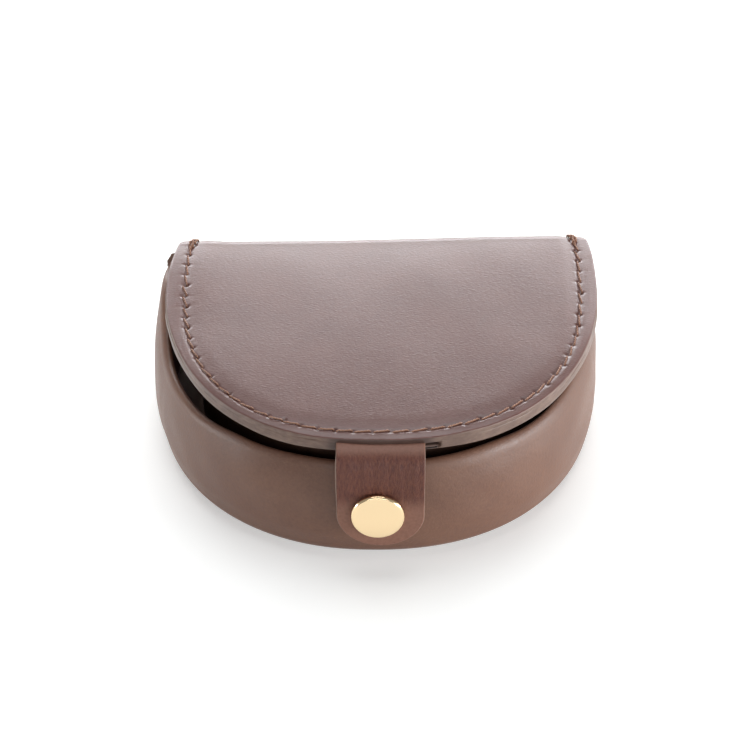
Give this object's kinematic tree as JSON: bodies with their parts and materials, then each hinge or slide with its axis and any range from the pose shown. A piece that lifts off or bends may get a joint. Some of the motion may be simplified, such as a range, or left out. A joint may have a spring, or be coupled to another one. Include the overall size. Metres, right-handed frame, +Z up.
{
  "type": "horseshoe coin purse",
  "caption": "Horseshoe coin purse in leather: two walled trays that nest, a folded spine that lets the lid open flat, and a tab with a press stud.",
  "frame": {"origin": "on the resting plane, below the middle of the closed purse", "axes": "+X across the purse to the right seen from the front, +Y back towards the folded spine, +Z up through the lid"},
  "size_m": [0.0884, 0.0712, 0.03],
  "materials": {
    "calf_leather": "smooth vegetable-tanned calf, taupe brown, waxed to a soft sheen",
    "edge_leather": "same calf, cut edges burnished",
    "tab_leather": "same calf, darker where it bends",
    "lining_leather": "thin plain calf lining, matt",
    "board": "bonded leather board, hidden stiffener",
    "gilt_brass": "polished, pale gold plated",
    "plain_steel": "plain, hidden in the wall and in the socket"
  },
  "bodies": {
    "tray": {"base_cover": "calf_leather", "base_board": "board", "base_lining": "lining_leather", "outer_wall_leather": "calf_leather", "outer_wall_board": "board", "outer_wall_lining": "lining_leather", "snap_stud": "gilt_brass", "stud_post": "plain_steel"},
    "spine": {"spine_cover": "calf_leather", "spine_lining": "lining_leather"},
    "lid": {"lid_cover": "calf_leather", "lid_welt": "edge_leather", "lid_board": "board", "lid_lining": "lining_leather", "inner_wall_leather": "edge_leather", "inner_wall_board": "board", "inner_wall_lining": "lining_leather", "tab_root": "tab_leather"},
    "tab": {"tab_strap": "tab_leather", "snap_cap": "gilt_brass", "snap_socket": "gilt_brass", "snap_spring": "plain_steel"}
  },
  "joints": [
    {"name": "spine_hinge", "type": "hinge", "parent": "tray", "child": "spine", "pos_m": [0, 0.03443, 0.00119], "axis": [-1, 0, 0], "range_deg": [0, 90]},
    {"name": "lid_hinge", "type": "hinge", "parent": "spine", "child": "lid", "pos_m": [0, 0.03443, 0.02881], "axis": [-1, 0, 0], "range_deg": [0, 90]},
    {"name": "tab_hinge", "type": "hinge", "parent": "lid", "child": "tab", "pos_m": [0, -0.03309, 0.0279], "axis": [-1, 0, 0], "range_deg": [0, 110]}
  ],
  "couplings": [
    {"joint": "spine_hinge", "follows": "lid_hinge", "ratio": 1}
  ]
}
